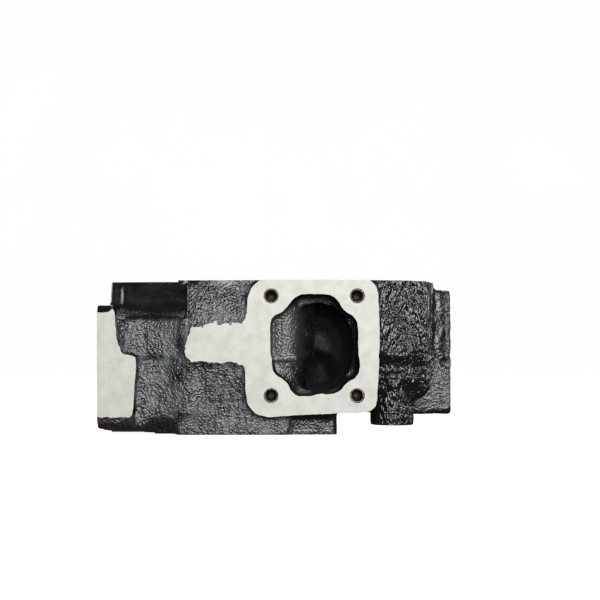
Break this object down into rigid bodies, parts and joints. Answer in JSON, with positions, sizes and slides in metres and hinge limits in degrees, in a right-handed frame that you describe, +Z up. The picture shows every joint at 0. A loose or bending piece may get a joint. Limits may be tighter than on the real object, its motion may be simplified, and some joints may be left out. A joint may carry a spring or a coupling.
{
  "type": "cylinder head",
  "caption": "Cast-iron cylinder head for a water-cooled diesel engine: milled intake flange with a scalloped port, exhaust face, spring pocket and sliding sprung valves.",
  "frame": {"origin": "middle of the outer box, on the plane of the fire deck", "axes": "+X along the head from the exhaust face to the push rods, +Y from the intake face to the rear wall, +Z up from the fire deck to the rocker deck, along the valves' axes"},
  "size_m": [0.277, 0.176, 0.1185],
  "materials": {
    "casting": "rough grey iron casting in semi-gloss black paint, with its milled faces bare",
    "valve_steel": "ground",
    "seat_alloy": "turned",
    "guide_iron": "turned",
    "hardened_steel": "hardened, oiled",
    "seal_rubber": "matt",
    "spring_steel": "shot peened, oiled",
    "copper": "drawn copper",
    "plated_steel": "zinc plated"
  },
  "bodies": {
    "head": {"head_casting": "casting", "intake_front_seat": "seat_alloy", "intake_front_guide": "guide_iron", "intake_front_spring_seat": "hardened_steel", "intake_front_stem_seal": "seal_rubber", "intake_front_spring": "spring_steel", "intake_rear_seat": "seat_alloy", "intake_rear_guide": "guide_iron", "intake_rear_spring_seat": "hardened_steel", "intake_rear_stem_seal": "seal_rubber", "intake_rear_spring": "spring_steel", "exhaust_front_seat": "seat_alloy", "exhaust_front_guide": "guide_iron", "exhaust_front_spring_seat": "hardened_steel", "exhaust_front_stem_seal": "seal_rubber", "exhaust_front_spring": "spring_steel", "exhaust_rear_seat": "seat_alloy", "exhaust_rear_guide": "guide_iron", "exhaust_rear_spring_seat": "hardened_steel", "exhaust_rear_stem_seal": "seal_rubber", "exhaust_rear_spring": "spring_steel", "injector_sleeve": "copper", "bridge_guide_pin_intake": "hardened_steel", "bridge_guide_pin_exhaust": "hardened_steel", "core_plug_rear_left": "plated_steel", "core_plug_rear_middle": "plated_steel", "core_plug_rear_right": "plated_steel", "gallery_plug_upper": "plated_steel", "gallery_plug_lower": "plated_steel", "core_plug_side": "plated_steel"},
    "intake_front_valve_body": {"intake_front_valve": "valve_steel", "intake_front_retainer": "hardened_steel", "intake_front_collet_a": "hardened_steel", "intake_front_collet_b": "hardened_steel"},
    "intake_rear_valve_body": {"intake_rear_valve": "valve_steel", "intake_rear_retainer": "hardened_steel", "intake_rear_collet_a": "hardened_steel", "intake_rear_collet_b": "hardened_steel"},
    "exhaust_front_valve_body": {"exhaust_front_valve": "valve_steel", "exhaust_front_retainer": "hardened_steel", "exhaust_front_collet_a": "hardened_steel", "exhaust_front_collet_b": "hardened_steel"},
    "exhaust_rear_valve_body": {"exhaust_rear_valve": "valve_steel", "exhaust_rear_retainer": "hardened_steel", "exhaust_rear_collet_a": "hardened_steel", "exhaust_rear_collet_b": "hardened_steel"}
  },
  "joints": [
    {"name": "intake_front_lift", "type": "slide", "parent": "head", "child": "intake_front_valve_body", "axis": [0, 0, -1], "range_m": [0, 0.011], "stiffness_N_per_m": 22000, "springref_m": -0.012, "deforming": ["intake_front_spring"]},
    {"name": "intake_rear_lift", "type": "slide", "parent": "head", "child": "intake_rear_valve_body", "axis": [0, 0, -1], "range_m": [0, 0.011], "stiffness_N_per_m": 22000, "springref_m": -0.012, "deforming": ["intake_rear_spring"]},
    {"name": "exhaust_front_lift", "type": "slide", "parent": "head", "child": "exhaust_front_valve_body", "axis": [0, 0, -1], "range_m": [0, 0.011], "stiffness_N_per_m": 22000, "springref_m": -0.012, "deforming": ["exhaust_front_spring"]},
    {"name": "exhaust_rear_lift", "type": "slide", "parent": "head", "child": "exhaust_rear_valve_body", "axis": [0, 0, -1], "range_m": [0, 0.011], "stiffness_N_per_m": 22000, "springref_m": -0.012, "deforming": ["exhaust_rear_spring"]}
  ]
}
